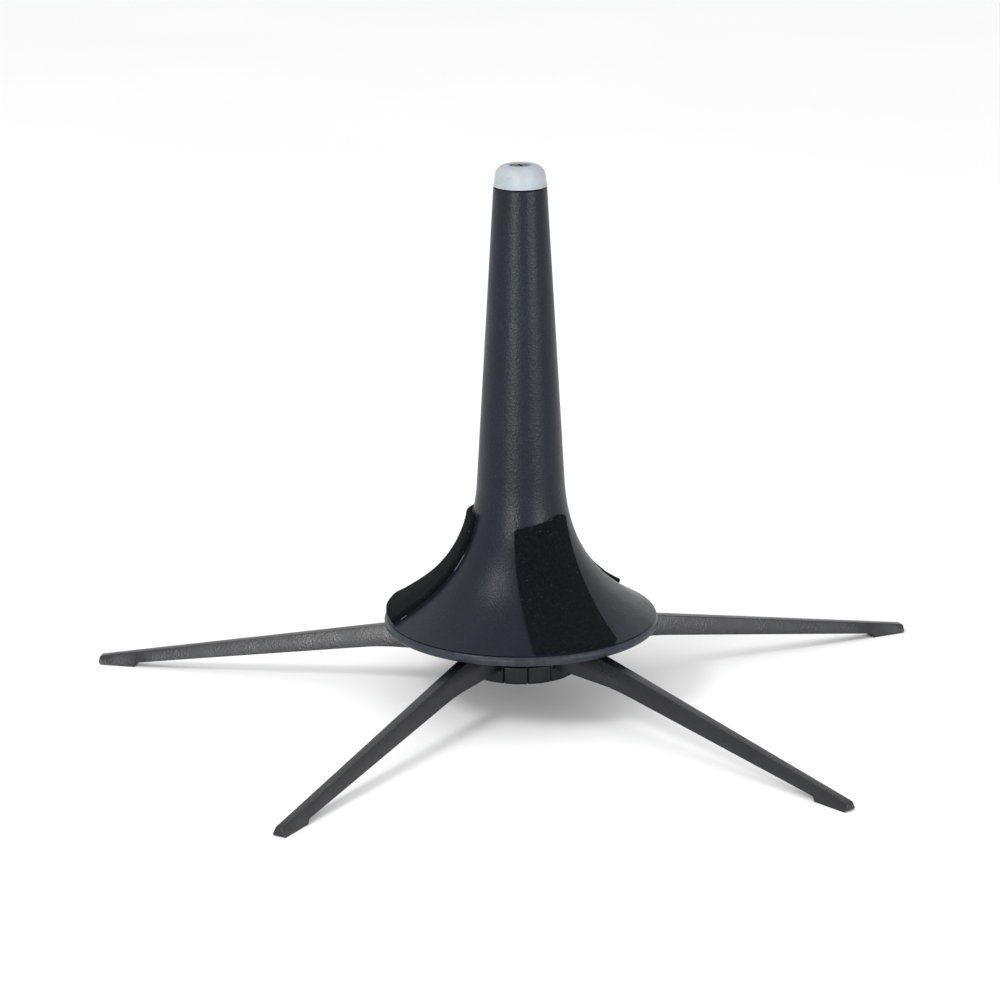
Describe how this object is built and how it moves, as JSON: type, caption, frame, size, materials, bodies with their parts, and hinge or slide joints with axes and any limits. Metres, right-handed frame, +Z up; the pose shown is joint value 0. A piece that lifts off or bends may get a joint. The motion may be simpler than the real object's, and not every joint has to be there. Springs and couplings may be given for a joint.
{
  "type": "trumpet stand",
  "caption": "Folding in-bell trumpet stand: a black flared cone with felt pads and a pale end cap, on a grooved hub with slim hinged legs.",
  "frame": {"origin": "centre of the hub cover's flat underside, on the cone's axis and 10 mm above the floor that the feet stand on", "axes": "+Z up along the cone's axis; -Y points to the side seen in the picture, with +X to its right; legs at azimuths -29.5, 42.5, 114.5, 186.5 and 258.5 degrees from -Y towards +X"},
  "size_m": [0.3127, 0.3086, 0.1996],
  "materials": {
    "cone_plastic": "satin moulded plastic with a fine speckled grain, near black with a blue cast",
    "leg_plastic": "satin moulded plastic, dark grey",
    "hub_plastic": "satin moulded plastic with moulded grip grooves",
    "cap_rubber": "pale blue-grey soft moulded cap",
    "felt": "matte black felt",
    "dark_steel": "blackened steel screw",
    "steel": "bright drawn steel pin"
  },
  "bodies": {
    "base": {"leg_hub": "hub_plastic", "hub_cover": "hub_plastic", "cover_screw_1": "dark_steel", "cover_screw_2": "dark_steel", "cover_screw_3": "dark_steel", "cover_screw_4": "dark_steel", "cover_screw_5": "dark_steel", "hinge_pin_1": "steel", "hinge_pin_2": "steel", "hinge_pin_3": "steel", "hinge_pin_4": "steel", "hinge_pin_5": "steel"},
    "cone": {"cone_shell": "cone_plastic", "end_cap": "cap_rubber", "cap_screw": "dark_steel", "felt_pad_1": "felt", "felt_pad_2": "felt", "felt_pad_3": "felt"},
    "leg_1": {"leg_1": "leg_plastic"},
    "leg_2": {"leg_2": "leg_plastic"},
    "leg_3": {"leg_3": "leg_plastic"},
    "leg_4": {"leg_4": "leg_plastic"},
    "leg_5": {"leg_5": "leg_plastic"}
  },
  "joints": [
    {"name": "cone_lift", "type": "slide", "parent": "base", "child": "cone", "axis": [0, 0, 1], "range_m": [0, 0.18]},
    {"name": "leg_1_fold", "type": "hinge", "parent": "base", "child": "leg_1", "pos_m": [-0.00736, -0.01307, 0.0104], "axis": [-0.8712, 0.4909, 0], "range_deg": [0, 101]},
    {"name": "leg_2_fold", "type": "hinge", "parent": "base", "child": "leg_2", "pos_m": [0.01015, -0.01104, 0.0104], "axis": [-0.7361, -0.6769, 0], "range_deg": [0, 101]},
    {"name": "leg_3_fold", "type": "hinge", "parent": "base", "child": "leg_3", "pos_m": [0.01364, 0.00624, 0.0104], "axis": [0.4163, -0.9092, 0], "range_deg": [0, 101]},
    {"name": "leg_4_fold", "type": "hinge", "parent": "base", "child": "leg_4", "pos_m": [-0.00172, 0.0149, 0.0104], "axis": [0.9934, 0.1149, 0], "range_deg": [0, 101]},
    {"name": "leg_5_fold", "type": "hinge", "parent": "base", "child": "leg_5", "pos_m": [-0.0147, 0.00297, 0.0104], "axis": [0.1977, 0.9803, 0], "range_deg": [0, 101]}
  ],
  "couplings": [
    {"joint": "leg_1_fold", "follows": "cone_lift", "rad_per_m": 9.7932},
    {"joint": "leg_2_fold", "follows": "cone_lift", "rad_per_m": 9.7932},
    {"joint": "leg_3_fold", "follows": "cone_lift", "rad_per_m": 9.7932},
    {"joint": "leg_4_fold", "follows": "cone_lift", "rad_per_m": 9.7932},
    {"joint": "leg_5_fold", "follows": "cone_lift", "rad_per_m": 9.7932}
  ]
}
